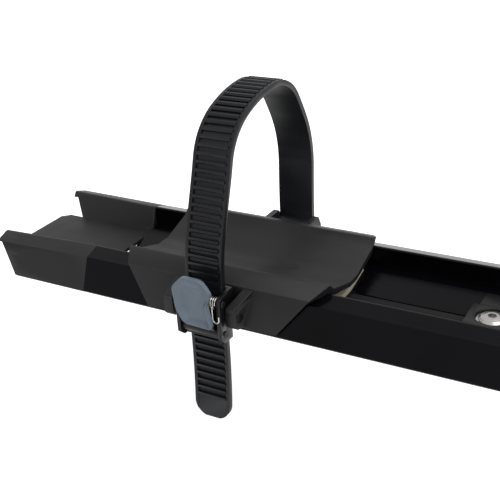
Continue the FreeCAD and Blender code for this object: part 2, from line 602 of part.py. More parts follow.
def strap_chain():
    """Outer line of the strap: the hanging tail, the straight through the buckle and the loop.

    Each link holds its start, its end, its centre (none on a straight) and its starting direction.
    """
    upright = FreeCAD.Vector(0, 0, 1)
    tip = vector("0", "-tail_line", "-tail_drop")
    foot = vector("0", "-strap_line", "-buckle_foot_drop")
    rise = vector("0", "-strap_line", "strap_straight_rise")
    chord = foot - tip
    lean = (chord * (2 * chord.dot(upright) / chord.dot(chord)) - upright).normalize()
    links = [arc_link(tip, foot, lean)[0], (foot, rise, None, upright)]
    places = [rise] + [FreeCAD.Vector(0, y, z) for y, z in STRAP_LINE]
    places.append(vector("0", "anchor_half + anchor_eye_radius", "-anchor_drop"))
    directions = [upright]
    for before, here, after in zip(places, places[1:], places[2:]):
        come, go = here - before, after - here
        directions.append((come * (go.Length / come.Length) + go * (come.Length / go.Length)).normalize())
    directions.append(upright * -1)
    for index in range(len(places) - 1):
        links += two_arcs(places[index], places[index + 1], directions[index], directions[index + 1])
    return links


def link_length(link):
    start, end, centre, _ = link
    if centre is None:
        return (end - start).Length
    radius = (start - centre).Length
    return 2 * radius * math.asin(min(1, (end - start).Length / (2 * radius)))


def line_frame(links, distance):
    """Point, direction and outward side of the strap's line at a distance along it."""
    index = 0
    while index < len(links) - 1 and distance > link_length(links[index]):
        distance -= link_length(links[index])
        index += 1
    start, _, centre, direction = links[index]
    if centre is None:
        return start + direction * distance, direction, FreeCAD.Vector(0, -direction.z, direction.y)
    spoke = start - centre
    turn = distance / spoke.Length
    side = FreeCAD.Vector(0, direction.z, -direction.y)
    way = -1 if side.dot(spoke) < 0 else 1
    along = direction * math.cos(turn) - side * (way * math.sin(turn))
    place = centre + spoke * math.cos(turn) + direction * (spoke.Length * math.sin(turn))
    return place, along, FreeCAD.Vector(0, -along.z, along.y)


def offset_edges(links, depth):
    """Edges that follow the strap's line at a depth under it."""
    edges = []
    for link in links:
        start, end, centre, direction = link
        first = start - FreeCAD.Vector(0, -direction.z, direction.y) * depth
        length = link_length(link)
        middle = line_frame([link], length / 2)
        last = line_frame([link], length)
        if centre is None:
            edges.append(Part.LineSegment(first, last[0] - last[2] * depth).toShape())
        else:
            arc = Part.Arc(first, middle[0] - middle[2] * depth, last[0] - last[2] * depth)
            edges.append(arc.toShape())
    return edges


def band(links, depth_out, depth_in, x_low, width):
    """Extrude the strip that lies between two depths under the strap's outer line."""
    outer, inner = offset_edges(links, depth_out), offset_edges(links, depth_in)
    first = Part.LineSegment(inner[0].Vertexes[0].Point, outer[0].Vertexes[0].Point).toShape()
    last = Part.LineSegment(outer[-1].Vertexes[-1].Point, inner[-1].Vertexes[-1].Point).toShape()
    wire = Part.Wire(Part.__sortEdges__(outer + inner + [first, last]))
    wire.translate(FreeCAD.Vector(x_low, 0, 0))
    return Part.Face(wire).extrude(FreeCAD.Vector(width, 0, 0))


def make_strap():
    curve = strap_chain()
    half, rail = size("strap_half"), size("rail_width")
    thick, deep = size("strap_thick"), size("rung_depth")
    core = band(curve, deep, thick, -half, 2 * half)
    rails = [band(curve, 0, thick, -half, rail), band(curve, 0, thick, half - rail, rail)]
    rungs = []
    start, pitch = size("strap_plain_end"), size("rung_pitch")
    run = sum(link_length(link) for link in curve) - start - 2 * size("anchor_eye_radius")
    for index in range(int(run / pitch)):
        place, along, outward = line_frame(curve, start + index * pitch)
        reach = along * (size("rung_width") / 2)
        top, foot = outward * size("rung_sink"), outward * (deep + 0.4)
        corners = [place - reach - top, place + reach - top, place + reach - foot, place - reach - foot]
        face = Part.Face(Part.makePolygon(corners + corners[:1]))
        rung = face.extrude(FreeCAD.Vector(2 * (half - rail) + 0.4, 0, 0))
        rung.translate(FreeCAD.Vector(rail - half - 0.2, 0, 0))
        rungs.append(rung)
    tip = band_piece(curve, 0, start - size("rung_width") / 2, half - rail + 0.2)
    across, anchor = FreeCAD.Vector(1, 0, 0), vector("0", "anchor_half", "-anchor_drop")
    eye = Part.makeCylinder(size("anchor_eye_radius"), 2 * half, anchor - across * half, across)
    strap = core.fuse(rails + rungs + [tip, eye])
    bore_start = anchor - across * (2 * half)
    bore = Part.makeCylinder(size("anchor_pin_radius + pin_gap"), 4 * half, bore_start, across)
    strap = strap.cut(bore).removeSplitter()
    strap = strap.cut(tip_corners(strap.BoundBox.ZMin, half))
    strap.translate(vector("wheel_place", "0", "ridge"))
    made("ladder_strap", strap)


def tip_corners(lowest, half):
    """What is cut away to round the strap's free end."""
    radius, depth = half * 0.82, 4 * size("strap_thick")
    start = -size("tail_line") - depth / 2
    pieces = []
    for side in (-1, 1):
        low = min(side * 2 * half, side * (half - radius))
        block = Part.makeBox(half + radius, depth, 2 * radius, FreeCAD.Vector(low, start, lowest - radius))
        centre = FreeCAD.Vector(side * (half - radius), start, lowest + radius)
        pieces.append(block.cut(Part.makeCylinder(radius, depth, centre, FreeCAD.Vector(0, 1, 0))))
    return pieces


def band_piece(curve, low, high, half):
    """A flat filling between the rails over a stretch of the strap's line."""
    first, _, outward = line_frame(curve, low)
    last = line_frame(curve, high)[0]
    top, deep = outward * size("rung_sink"), outward * size("rung_depth + 0.4")
    corners = [first - top, last - top, last - deep, first - deep]
    piece = Part.Face(Part.makePolygon(corners + corners[:1])).extrude(FreeCAD.Vector(2 * half, 0, 0))
    piece.translate(FreeCAD.Vector(-half, 0, 0))
    return piece


# Ratchet buckle: base, pivot pins, lever with its drive tooth and spring, and the holding pawl
def cross_pin(name, radius, half_length, line, drop):
    """Steel pin along X with bevelled ends."""
    pin = new_body(name, "wheel_place", "-(%s)" % line, "ridge - %s" % drop)
    turned(pin, "XZ", [("-(%s)" % half_length, "0"), ("-(%s)" % half_length, "%s - 0.4" % radius),
                       ("0.4 - (%s)" % half_length, radius), ("%s - 0.4" % half_length, radius),
                       (half_length, "%s - 0.4" % radius), (half_length, "0")], "H_Axis")


def make_pivot_pins():
    """Two stepped pins between the saddle's ears and the buckle's cheeks."""
    pins = []
    for side in (-1, 1):
        way = FreeCAD.Vector(side, 0, 0)
        start = vector("%s * (cheek_inner + 0.1)" % side, "-pivot_pin_line", "-pivot_pin_drop")
        pin = Part.makeCylinder(size("pivot_pin_radius"), size("ear_outer - cheek_inner + 0.3"), start, way)
        collar_start = start + way * size("cheek_wall + 0.1")
        collar = Part.makeCylinder(size("pivot_pin_radius * 1.6"), size("ear_inner - cheek_outer - 0.4"),
                                   collar_start, way)
        pins.append(pin.fuse(collar).removeSplitter())
    shape = Part.makeCompound(pins)
    shape.translate(vector("wheel_place", "0", "ridge"))
    made("buckle_pivot_pins", shape)


def make_buckle_base():
    base = new_body("buckle_base", "wheel_place", "0", "ridge")
    back = "-strap_line + strap_thick + base_gap"
    plan = [("-cheek_outer", "-cheek_front"), ("-cheek_inner", "-cheek_front"), ("-cheek_inner", back),
            ("cheek_inner", back), ("cheek_inner", "-cheek_front"), ("cheek_outer", "-cheek_front"),
            ("cheek_outer", "%s + base_wall" % back), ("-cheek_outer", "%s + base_wall" % back)]
    prism(base, "XY", [plan], "base_top + buckle_foot_drop", "-buckle_foot_drop")
    outside = "-cheek_front - 1"
    cut(base, "YZ", [[(outside, "base_top + 1"), (outside, "-lever_pin_drop - 4"),
                      ("-cheek_front", "-lever_pin_drop - 4"),
                      ("-lever_pin_line - 3", "-lever_pin_drop + 2.8"),
                      ("-lever_pin_line", "-lever_pin_drop + 4.4"),
                      ("-lever_pin_line + 5", "-lever_pin_drop + 4.4"),
                      ("-pivot_pin_line + 1", "base_top + 1")]])
    cut(base, "YZ", [[(outside, "-buckle_foot_drop - 1"), (outside, "-pawl_pin_drop - 3"),
                      ("-cheek_front", "-pawl_pin_drop - 3"), ("-pawl_pin_line", "-buckle_foot_drop"),
                      ("-pawl_pin_line", "-buckle_foot_drop - 1")]])
    # Room for the tray's flank behind the base's foot
    beside = "-facet_half - tray_clear"
    cut(base, "YZ", [[(beside, "-facet_drop"), (beside, "-buckle_foot_drop - 1"),
                      ("%s - flank_run" % beside, "-buckle_foot_drop - 1"),
                      ("%s - flank_run" % beside, "-tray_height + lip_rise")]])
    # Keeper bar across the front at the base's foot, just outside the strap
    bar = new_sketch(base, "YZ")
    front = "-strap_line - base_gap"
    add_outline(bar, [(front, "-buckle_foot_drop"), (front, "-buckle_foot_drop + 3"),
                      ("%s - keeper_wall" % front, "-buckle_foot_drop + 3"),
                      ("%s - keeper_wall" % front, "-buckle_foot_drop")])
    feature(base, "Pad", bar, "2 * cheek_outer - 1", True)
    for line, drop, radius in (("pivot_pin_line", "pivot_pin_drop", "pivot_pin_radius"),
                               ("lever_pin_line", "lever_pin_drop", "lever_pin_radius"),
                               ("pawl_pin_line", "pawl_pin_drop", "pawl_pin_radius")):
        bore = new_sketch(base, "YZ")
        add_circle(bore, ("-" + line, "-" + drop), radius + " + pin_gap")
        feature(base, "Pocket", bore, "4 * cheek_outer", True)


# Lever's face: across from the strap's middle and above the lever's pin
LEVER_OUTLINE = [(-6.6, 16.5), (5.6, 16.3), (8.8, 13.1), (12.2, 7.7), (8.6, 1.3), (11.6, -13.4),
                 (-7.0, -12.7), (-11.7, -4.2), (-13.2, 9.4)]


def make_lever():
    lever = new_body("ratchet_lever", "wheel_place", "-lever_pin_line", "ridge - lever_pin_drop")
    hub = new_sketch(lever, "YZ", "(spring_end - cheek_inner + 0.3) / 2")
    add_circle(hub, ("0", "0"), "hub_radius")
    feature(lever, "Pad", hub, "spring_end + cheek_inner - 0.3", True)
    tooth = new_sketch(lever, "YZ", "(spring_end - cheek_inner + 0.3) / 2")
    reach = "lever_pin_line - strap_line - rung_clear"
    add_outline(tooth, [("0", "-2.6"), (reach, "-0.4"), (reach, "0.4"), ("0", "2.6")])
    feature(lever, "Pad", tooth, "spring_end + cheek_inner - 2.3", True)
    arm = new_sketch(lever, "YZ", "(spring_end - cheek_inner + 0.3) / 2")
    back = "-lever_face + lever_thick + lever_pin_line"
    add_outline(arm, [("%s - 0.5" % back, "-5"), ("0", "-hub_radius + 0.4"), ("0", "hub_radius - 0.4"),
                      ("%s - 0.5" % back, "5")])
    feature(lever, "Pad", arm, "spring_end + cheek_inner - 2.3", True)
    plate = [("%s" % x, "%s" % z) for x, z in LEVER_OUTLINE]
    prism(lever, "XZ", [plate], "lever_thick", "lever_face - lever_thick - lever_pin_line")
    inset = [("%s * lever_inset" % x, "%s * lever_inset - 1.0" % z) for x, z in LEVER_OUTLINE]
    cut(lever, "XZ", [inset], "lever_rim", "lever_face - lever_pin_line", False)
    bore = new_sketch(lever, "YZ")
    add_circle(bore, ("0", "0"), "lever_pin_radius + pin_gap")
    feature(lever, "Pocket", bore, "4 * cheek_outer", True)


def coil(name, radius, wire, turns, low, high, line, drop):
    """Spring wound about a pin along X, its wire a chain of short straight lengths."""
    steps = 12
    reach, thick, start, end = size(radius), size(wire), size(low), size(high)
    path = []
    for step in range(steps * turns + 1):
        angle = 2 * math.pi * step / steps
        along = start + (end - start) * step / (steps * turns)
        path.append(FreeCAD.Vector(along, reach * math.cos(angle), reach * math.sin(angle)))
    corners = [path[0] + FreeCAD.Vector(math.cos(math.radians(60 * turn)),
                                        math.sin(math.radians(60 * turn)), 0) * thick for turn in range(7)]
    shape = Part.makePolygon(path).makePipeShell([Part.makePolygon(corners)], True, False, 1)
    shape.translate(vector("wheel_place", "-" + line, "ridge - " + drop))
    made(name, shape)


def make_pawl():
    pawl = new_body("holding_pawl", "wheel_place", "-pawl_pin_line", "ridge - pawl_pin_drop")
    reach = "pawl_pin_line - strap_line - rung_clear"
    width = "2 * cheek_inner - 0.6"
    hub = new_sketch(pawl, "YZ")
    add_circle(hub, ("0", "0"), "pawl_hub_radius")
    feature(pawl, "Pad", hub, width, True)
    tooth = new_sketch(pawl, "YZ")
    add_outline(tooth, [("-0.6", "2.2"), ("0", "-2.4"), (reach, "-0.2"), (reach, "0.8")])
    feature(pawl, "Pad", tooth, "2 * (strap_half - rail_width)", True)
    tail = new_sketch(pawl, "YZ")
    add_outline(tail, [("0", "2.4"), ("-2.6", "1.6"), ("-4.6", "5.2"), ("-3.4", "6.0"), ("0.6", "2.6")])
    feature(pawl, "Pad", tail, "2 * (strap_half - rail_width)", True)
    bore = new_sketch(pawl, "YZ")
    add_circle(bore, ("0", "0"), "pawl_pin_radius + pin_gap")
    feature(pawl, "Pocket", bore, "4 * cheek_outer", True)


# Fork head at the tray's front: a casting with a barrel for the fork's tips and a cam skewer
def make_fork_head():
    head = new_body("fork_head", "head_place", "0", "ridge")
    skirt = "facet_half + saddle_gap * 1.1 + flank_run * (saddle_skirt_drop - facet_drop) / flank_fall"
    section = mirrored([
        ("inner_half - saddle_gap", "-head_base_wall"), ("inner_half - saddle_gap", "fit_gap"),
        ("ridge_half + saddle_gap", "fit_gap"), ("facet_half + saddle_gap", "-facet_drop + fit_gap"),
        (skirt, "-saddle_skirt_drop"), ("saddle_skirt_half + 1", "-saddle_skirt_drop"),
        ("saddle_edge_half + 1", "head_base_wall - 3"), ("ridge_half + 2", "head_base_wall"),
    ])
    prism(head, "YZ", [section], "head_base_length", "0", True)
    for side in ("1", "-1"):
        cut(head, "XZ", [[("(%s) * (head_base_length / 2 + 1)" % side, "head_base_wall + 1"),
                          ("(%s) * (head_base_length / 2 - 4)" % side, "head_base_wall + 1"),
                          ("(%s) * (head_base_length / 2 - 16)" % side, "-saddle_skirt_drop - 1"),
                          ("(%s) * (head_base_length / 2 + 1)" % side, "-saddle_skirt_drop - 1")]])
    for side in ("1", "-1"):
        web = new_sketch(head, "XZ", "(%s) * web_spread" % side)
        add_outline(web, [("-head_base_length / 2 + 12", "head_base_wall - 1"),
                          ("head_base_length / 2 - 12", "head_base_wall - 1"),
                          ("barrel_radius * 0.9", "axle_rise"), ("-barrel_radius * 0.9", "axle_rise")])
        feature(head, "Pad", web, "head_web", True)
    barrel = new_sketch(head, "XZ")
    add_circle(barrel, ("0", "axle_rise"), "barrel_radius")
    feature(head, "Pad", barrel, "fork_spacing - 2 * bush_flange", True)
    bore = new_sketch(head, "XZ")
    add_circle(bore, ("0", "axle_rise"), "bush_radius + thread_gap")
    feature(head, "Pocket", bore, "2 * fork_spacing", True)
    drill(head, "XY", [("head_screw_spread / 2", "0"), ("-head_screw_spread / 2", "0")],
          "head_screw_radius + hole_gap")


def axle_piece(name, outline, side):
    """Round piece about the fork axle; outlines give the distance along it and the radius."""
    body = new_body(name, "head_place", "0", "ridge + axle_rise")
    turned(body, "YZ", [("(%s) * (%s)" % (side, a), b) for a, b in outline], "H_Axis")
    return body


def make_axle_parts():
    half = "fork_spacing / 2"
    gap = "rod_radius + hole_gap"
    for name, side in (("near_axle_bush", "-1"), ("far_axle_bush", "1")):
        axle_piece(name, [("%s - bush_flange - bush_length" % half, gap),
                          ("%s - bush_flange - bush_length" % half, "bush_radius"),
                          ("%s - bush_flange" % half, "bush_radius"),
                          ("%s - bush_flange" % half, "bush_flange_radius"), (half, "bush_flange_radius"),
                          (half, "stub_radius"), ("%s + stub_length" % half, "stub_radius"),
                          ("%s + stub_length" % half, gap)], side)
    near_cup = "%s + cup_gap" % half
    cam_line = "%s + cup_gap + cup_thick + cam_radius" % half
    rod_tip = "-(%s + cup_gap + nut_long + rod_end)" % half
    rod_root = "%s - cam_pin_radius - eye_wall / 2" % cam_line
    rod = axle_piece("skewer_rod", [(rod_tip, "0"), (rod_tip, "rod_radius"), (rod_root, "rod_radius"),
                                    (rod_root, "0")], "-1")
    eye = new_sketch(rod, "YZ")
    add_circle(eye, ("-(%s)" % cam_line, "0"), "cam_pin_radius + eye_wall")
    feature(rod, "Pad", eye, "2 * rod_radius", True)
    bore = new_sketch(rod, "YZ")
    add_circle(bore, ("-(%s)" % cam_line, "0"), "cam_pin_radius + pin_gap")
    feature(rod, "Pocket", bore, "4 * rod_radius", True)
    axle_piece("cam_cup", [(near_cup, gap), (near_cup, "cup_radius"),
                           ("%s + cup_thick * 0.6" % near_cup, "cup_radius"),
                           ("%s + cup_thick" % near_cup, "cam_radius"),
                           ("%s + cup_thick" % near_cup, gap)], "-1")
    axle_piece("skewer_nut", [("%s + cup_gap" % half, "rod_radius + pin_gap"),
                              ("%s + cup_gap" % half, "nut_radius"),
                              ("%s + cup_gap + nut_long * 0.7" % half, "nut_radius"),
                              ("%s + cup_gap + nut_long" % half, "nut_radius * 0.7"),
                              ("%s + cup_gap + nut_long" % half, "rod_radius + pin_gap")], "1")
    make_cam_parts(cam_line)


def make_cam_parts(cam_line):
    """Cross pin in the rod's eye and the lever whose lobes press on the cup."""
    at = ("head_place", "-(%s)" % cam_line, "ridge + axle_rise")
    lever = new_body("cam_lever", *at)
    lobe = new_sketch(lever, "YZ")
    add_circle(lobe, ("0", "0"), "cam_radius - cam_gap")
    feature(lever, "Pad", lobe, "cam_width", True)
    arm = new_sketch(lever, "YZ")
    add_outline(arm, [("-3", "0"), ("3", "0"), ("1.5", "cam_lever_length"), ("-2.5", "cam_lever_length")])
    feature(lever, "Pad", arm, "cam_width * 0.8", True)
    cut(lever, "XZ", [[("-rod_radius - 0.8", "-cam_radius - 1"), ("rod_radius + 0.8", "-cam_radius - 1"),
                       ("rod_radius + 0.8", "cam_radius + 2"), ("-rod_radius - 0.8", "cam_radius + 2")]],
        "4 * cam_radius")
    bore = new_sketch(lever, "YZ")
    add_circle(bore, ("0", "0"), "cam_pin_radius + pin_gap")
    feature(lever, "Pocket", bore, "2 * cam_width", True)
    pin = new_body("cam_pin", *at)
    turned(pin, "XZ", [("-cam_width / 2", "0"), ("-cam_width / 2", "cam_pin_radius"),
                       ("cam_width / 2", "cam_pin_radius"), ("cam_width / 2", "0")], "H_Axis")


def make_head_fixing():
    plate = new_body("head_clamp_plate", "head_place", "0", "ridge")
    high = "-floor_deep - floor_wall - fit_gap"
    rise = "(keeper_half - floor_flat) * vee_fall"
    section = mirrored([("floor_flat", "-tray_height"), ("keeper_half", "-tray_height"),
                        ("keeper_half", "%s + %s" % (high, rise)), ("floor_flat", high)])
    prism(plate, "YZ", [section], "head_base_length * 0.7", "0", True)
    drill(plate, "XY", [("head_screw_spread / 2", "0"), ("-head_screw_spread / 2", "0")],
          "head_screw_radius + thread_gap")
    screws = [plain_screw("head_screw_radius", "head_base_wall + tray_height", "head_screw_radius * 1.7",
                          "head_screw_radius", ("head_place + %s * head_screw_spread / 2" % side, "0",
                                                "ridge + head_base_wall"), -1) for side in ("1", "-1")]
    made("head_screws", Part.makeCompound(screws))


make_tray()
make_foot("rear", "0")
make_foot("front", "front_foot")
make_cap("rear_end_cap", "cap_length", "-tray_rear", False)
make_cap("front_end_cap", "cap_length", "tray_front", True)
make_cap_screws()
make_saddle()
make_glide()
make_strap()
cross_pin("strap_anchor_pin", "anchor_pin_radius", "strap_half + lug_gap + anchor_lug_wall + 0.3",
          "-anchor_half", "anchor_drop")
make_buckle_base()
make_pivot_pins()
make_lever()
cross_pin("lever_pin", "lever_pin_radius", "cheek_outer + 0.8", "lever_pin_line", "lever_pin_drop")
coil("lever_spring", "hub_radius - spring_wire", "spring_wire", 4, "spring_end + 2 * spring_wire",
     "cheek_inner - 2 * spring_wire", "lever_pin_line", "lever_pin_drop")
make_pawl()
cross_pin("pawl_pin", "pawl_pin_radius", "cheek_outer + 0.6", "pawl_pin_line", "pawl_pin_drop")
make_fork_head()
make_axle_parts()
make_head_fixing()

doc.recompute()
os.makedirs("parts", exist_ok=True)
for item in doc.Objects:
    if "Invalid" in item.State or "Error" in item.State:
        raise RuntimeError("%s did not build: %s" % (item.Name, item.State))
for part in NODES:
    if part.Shape.isNull() or not part.Shape.isValid():
        raise RuntimeError("%s is not a sound shape" % part.Label)
for part in NODES:
    part.Shape.exportStep("parts/%s.step" % part.Label)
    print(part.Label, len(part.Shape.Solids), round(part.Shape.Volume), part.Shape.BoundBox)
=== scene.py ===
import json
import math

import bmesh
import bpy
from mathutils import Matrix, Vector

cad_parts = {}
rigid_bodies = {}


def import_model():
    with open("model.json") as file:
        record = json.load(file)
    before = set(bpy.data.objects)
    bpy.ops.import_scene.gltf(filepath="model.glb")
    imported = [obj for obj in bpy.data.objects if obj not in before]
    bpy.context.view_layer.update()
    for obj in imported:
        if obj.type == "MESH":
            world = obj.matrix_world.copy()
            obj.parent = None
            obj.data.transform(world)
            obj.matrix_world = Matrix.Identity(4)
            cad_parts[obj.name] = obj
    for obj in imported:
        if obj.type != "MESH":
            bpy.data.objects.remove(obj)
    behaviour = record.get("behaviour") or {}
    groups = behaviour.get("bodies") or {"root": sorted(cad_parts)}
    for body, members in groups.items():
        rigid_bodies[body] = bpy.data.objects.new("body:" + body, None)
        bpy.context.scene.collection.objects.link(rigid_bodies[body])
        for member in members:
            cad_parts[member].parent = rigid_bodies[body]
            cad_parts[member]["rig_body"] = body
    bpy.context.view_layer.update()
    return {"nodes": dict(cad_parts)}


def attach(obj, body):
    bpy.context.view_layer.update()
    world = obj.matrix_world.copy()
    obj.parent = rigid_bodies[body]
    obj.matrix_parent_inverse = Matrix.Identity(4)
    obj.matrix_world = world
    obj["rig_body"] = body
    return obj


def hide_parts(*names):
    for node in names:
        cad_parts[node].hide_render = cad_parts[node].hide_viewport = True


# Roof bike rack: finishes, softened edges and small pieces, seen from the near side ahead of the saddle.
# Lengths are in metres, in the rack's own frame; a size in millimetres is written with MM.
MM = 0.001

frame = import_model()


# Camera: on the near side, ahead of the wheel saddle, looking down to the rear of the tray
CAMERA_PLACE = (0.1107, -0.4368, 0.2792)
CAMERA_AZIMUTH = math.radians(30.88)
CAMERA_ELEVATION = math.radians(25.93)
CAMERA_ROLL = math.radians(-3.68)
CAMERA_LENS = 66.41
SENSOR_WIDTH = 36.0


def make_camera():
    """Stand the camera at its place, level but for its roll."""
    camera = bpy.data.cameras.new("camera")
    camera.lens = CAMERA_LENS
    camera.sensor_width = SENSOR_WIDTH
    camera.clip_start = 10 * MM
    holder = bpy.data.objects.new("camera", camera)
    bpy.context.scene.collection.objects.link(holder)
    turn = (Matrix.Rotation(CAMERA_AZIMUTH, 4, "Z")
            @ Matrix.Rotation(math.pi / 2 - CAMERA_ELEVATION, 4, "X")
            @ Matrix.Rotation(CAMERA_ROLL, 4, "Z"))
    holder.matrix_world = Matrix.Translation(CAMERA_PLACE) @ turn
    bpy.context.scene.camera = holder


# Materials
def linear(code):
    """Turn an sRGB hex colour into Blender's linear colour."""
    parts = [int(code[index:index + 2], 16) / 255 for index in (1, 3, 5)]
    return [part / 12.92 if part <= 0.04045 else ((part + 0.055) / 1.055) ** 2.4 for part in parts] + [1.0]


def put(tree, kind, inputs=None, stops=None, **settings):
    """Add a shader node with its settings, its colour stops, and its inputs as values or as sockets."""
    node = tree.nodes.new("ShaderNode" + kind)
    for name, value in settings.items():
        setattr(node, name, value)
    for index, (place, code) in enumerate(stops or []):
        element = node.color_ramp.elements[index]
        element.position = place
        element.color = linear(code)
    for name, value in (inputs or {}).items():
        if isinstance(value, bpy.types.NodeSocket):
            tree.links.new(value, node.inputs[name])
        else:
            node.inputs[name].default_value = value
    return node


def new_material(name):
    """A node material with its principled shader and its object coordinates."""
    material = bpy.data.materials.new(name)
    material.use_nodes = True
    tree = material.node_tree
    shader = tree.nodes["Principled BSDF"]
    return material, tree, shader, put(tree, "TexCoord").outputs["Object"]


def set_shader(tree, shader, **inputs):
    """Set or link a principled shader's inputs, named with _ for a space."""
    for name, value in inputs.items():
        socket = shader.inputs[name.replace("_", " ").replace("Ior", "IOR")]
        if isinstance(value, bpy.types.NodeSocket):
            tree.links.new(value, socket)
        else:
            socket.default_value = value


# Size of the slow drifts of tone and gloss that a moulding and a drawn metal have
MOULDING_DRIFT, METAL_DRIFT = 40 * MM, 60 * MM


def textured_moulding(name, dark, light, grain, depth, smooth, rough, sheen=0.25):
    """Injection moulding with a spark-eroded skin: fine even pits, and slow drifts of tone and gloss."""
    material, tree, shader, coords = new_material(name)
    pits = put(tree, "TexNoise", {"Vector": coords, "Scale": 1 / grain, "Detail": 3.0, "Roughness": 0.6})
    drift = put(tree, "TexNoise", {"Vector": coords, "Scale": 1 / MOULDING_DRIFT, "Detail": 4.0,
                                   "Roughness": 0.65})
    tone = put(tree, "ValToRGB", {"Fac": drift.outputs["Fac"]}, [(0.32, dark), (0.7, light)])
    gloss = put(tree, "MapRange", {"Value": drift.outputs["Fac"], "From Min": 0.3, "From Max": 0.7,
                                   "To Min": smooth, "To Max": rough})
    bump = put(tree, "Bump", {"Height": pits.outputs["Fac"], "Strength": 1.0, "Distance": depth})
    set_shader(tree, shader, Base_Color=tone.outputs["Color"], Roughness=gloss.outputs["Result"],
               Specular_IOR_Level=sheen, Normal=bump.outputs["Normal"])
    return material


def drawn_metal(name, dark, light, metallic, smooth, rough, streak, grain, depth, sheen=0.5):
    """Metal with lines along X, as extruding or rolling leaves them: streak long and grain wide."""
    material, tree, shader, coords = new_material(name)
    stretch = put(tree, "Mapping", {"Vector": coords, "Scale": (1 / streak, 1 / grain, 1 / grain)})
    lines = put(tree, "TexNoise", {"Vector": stretch.outputs["Vector"], "Scale": 1.0, "Detail": 4.0,
                                   "Roughness": 0.6})
    drift = put(tree, "TexNoise", {"Vector": coords, "Scale": 1 / METAL_DRIFT, "Detail": 3.0,
                                   "Roughness": 0.6})
    tone = put(tree, "ValToRGB", {"Fac": drift.outputs["Fac"]}, [(0.3, dark), (0.72, light)])
    gloss = put(tree, "MapRange", {"Value": lines.outputs["Fac"], "From Min": 0.3, "From Max": 0.7,
                                   "To Min": smooth, "To Max": rough})
    bump = put(tree, "Bump", {"Height": lines.outputs["Fac"], "Strength": 1.0, "Distance": depth})
    set_shader(tree, shader, Base_Color=tone.outputs["Color"], Roughness=gloss.outputs["Result"],
               Normal=bump.outputs["Normal"], Metallic=metallic, Specular_IOR_Level=sheen)
    return material


# Black anodised aluminium, extruded: a glossy near-black skin with a slight blue tinge and faint die lines
ANODISED = drawn_metal("black_anodised_aluminium", "#050507", "#0b0b10", 0.3, 0.16, 0.3,
                       90 * MM, 1.2 * MM, 0.02 * MM, 0.12)
# Polypropylene moulded in a spark-eroded tool: soft dark grey sheen, a little lighter where it is handled
TEXTURED_PP = textured_moulding("textured_polypropylene", "#151416", "#1f1e20",
                              0.7 * MM, 0.06 * MM, 0.42, 0.58)
# Glass-filled nylon, moulded smooth: deeper black and a tighter sheen than the polypropylene
BLACK_NYLON = textured_moulding("black_nylon", "#08080a", "#101012", 1.1 * MM, 0.02 * MM, 0.32, 0.45)
# Thermoplastic polyurethane, moulded: the strap's slightly blue dark grey with a waxy gloss
STRAP_TPU = textured_moulding("strap_polyurethane", "#0e0f12", "#17181c", 1.5 * MM, 0.02 * MM, 0.34, 0.5)
# ABS, moulded in colour: the lever's blue-grey with a fine satin grain
LEVER_ABS = textured_moulding("blue_grey_abs", "#5f6a76", "#75818d", 0.5 * MM, 0.015 * MM, 0.35, 0.48)
# Natural acetal: cream, slightly waxy
CREAM_ACETAL = textured_moulding("cream_acetal", "#cfc6ab", "#e2dac4", 2.0 * MM, 0.01 * MM, 0.32, 0.45)
# EPDM rubber, moulded: dull black with a fine bloom
EPDM_RUBBER = textured_moulding("epdm_rubber", "#0a0a0a", "#121212", 0.9 * MM, 0.04 * MM, 0.65, 0.85)
# Zinc die casting, blackened: dark grey with a faint cast skin
BLACK_ZINC = textured_moulding("blackened_zinc_casting", "#141415", "#202021", 1.4 * MM, 0.03 * MM, 0.35, 0.5)
# Zinc-plated steel: bright and slightly warm, with turned or rolled lines
PLATED_STEEL = drawn_metal("zinc_plated_steel", "#9c9a96", "#c4c2bd", 1.0, 0.22, 0.38,
                           6 * MM, 0.3 * MM, 0.01 * MM)
# Aluminium, turned and left bare
BARE_ALUMINIUM = drawn_metal("turned_aluminium", "#b4b5b7", "#cfd0d2", 1.0, 0.25, 0.4,
                             0.4 * MM, 8 * MM, 0.01 * MM)
# Cast aluminium under black powder coat: fine orange peel
POWDER_COAT = textured_moulding("black_powder_coat", "#0c0c0e", "#151517", 1.0 * MM, 0.03 * MM, 0.38, 0.5)
# Steel, phosphated black
BLACK_STEEL = drawn_metal("phosphated_steel", "#1b1b1c", "#2b2b2c", 0.8, 0.4, 0.6,
                          5 * MM, 0.5 * MM, 0.01 * MM)

FOOT_FINISHES = {
    "clamp_block": BLACK_ZINC, "block_carrier": BLACK_NYLON, "washer": PLATED_STEEL, "screw": PLATED_STEEL,
    "foot_pad": EPDM_RUBBER, "channel_nut": BLACK_STEEL,
}
FINISHES = {
    "tray": ANODISED, "rear_end_cap": TEXTURED_PP, "front_end_cap": TEXTURED_PP,
    "end_cap_screws": PLATED_STEEL,
    "wheel_saddle": TEXTURED_PP, "saddle_glide": CREAM_ACETAL, "saddle_keeper_plate": BLACK_STEEL,
    "saddle_keeper_screws": PLATED_STEEL, "ladder_strap": STRAP_TPU, "strap_anchor_pin": PLATED_STEEL,
    "buckle_base": BLACK_NYLON, "buckle_pivot_pins": BLACK_STEEL, "ratchet_lever": LEVER_ABS,
    "lever_pin": BLACK_STEEL, "lever_spring": PLATED_STEEL, "holding_pawl": BLACK_NYLON,
    "pawl_pin": BLACK_STEEL, "fork_head": POWDER_COAT, "near_axle_bush": BARE_ALUMINIUM,
    "far_axle_bush": BARE_ALUMINIUM, "skewer_rod": PLATED_STEEL, "cam_cup": BARE_ALUMINIUM,
    "skewer_nut": BARE_ALUMINIUM, "cam_lever": POWDER_COAT, "cam_pin": PLATED_STEEL,
    "head_clamp_plate": BLACK_STEEL, "head_screws": PLATED_STEEL,
}
for side in ("rear_", "front_"):
    for piece_name, finish in FOOT_FINISHES.items():
        FINISHES[side + piece_name] = finish

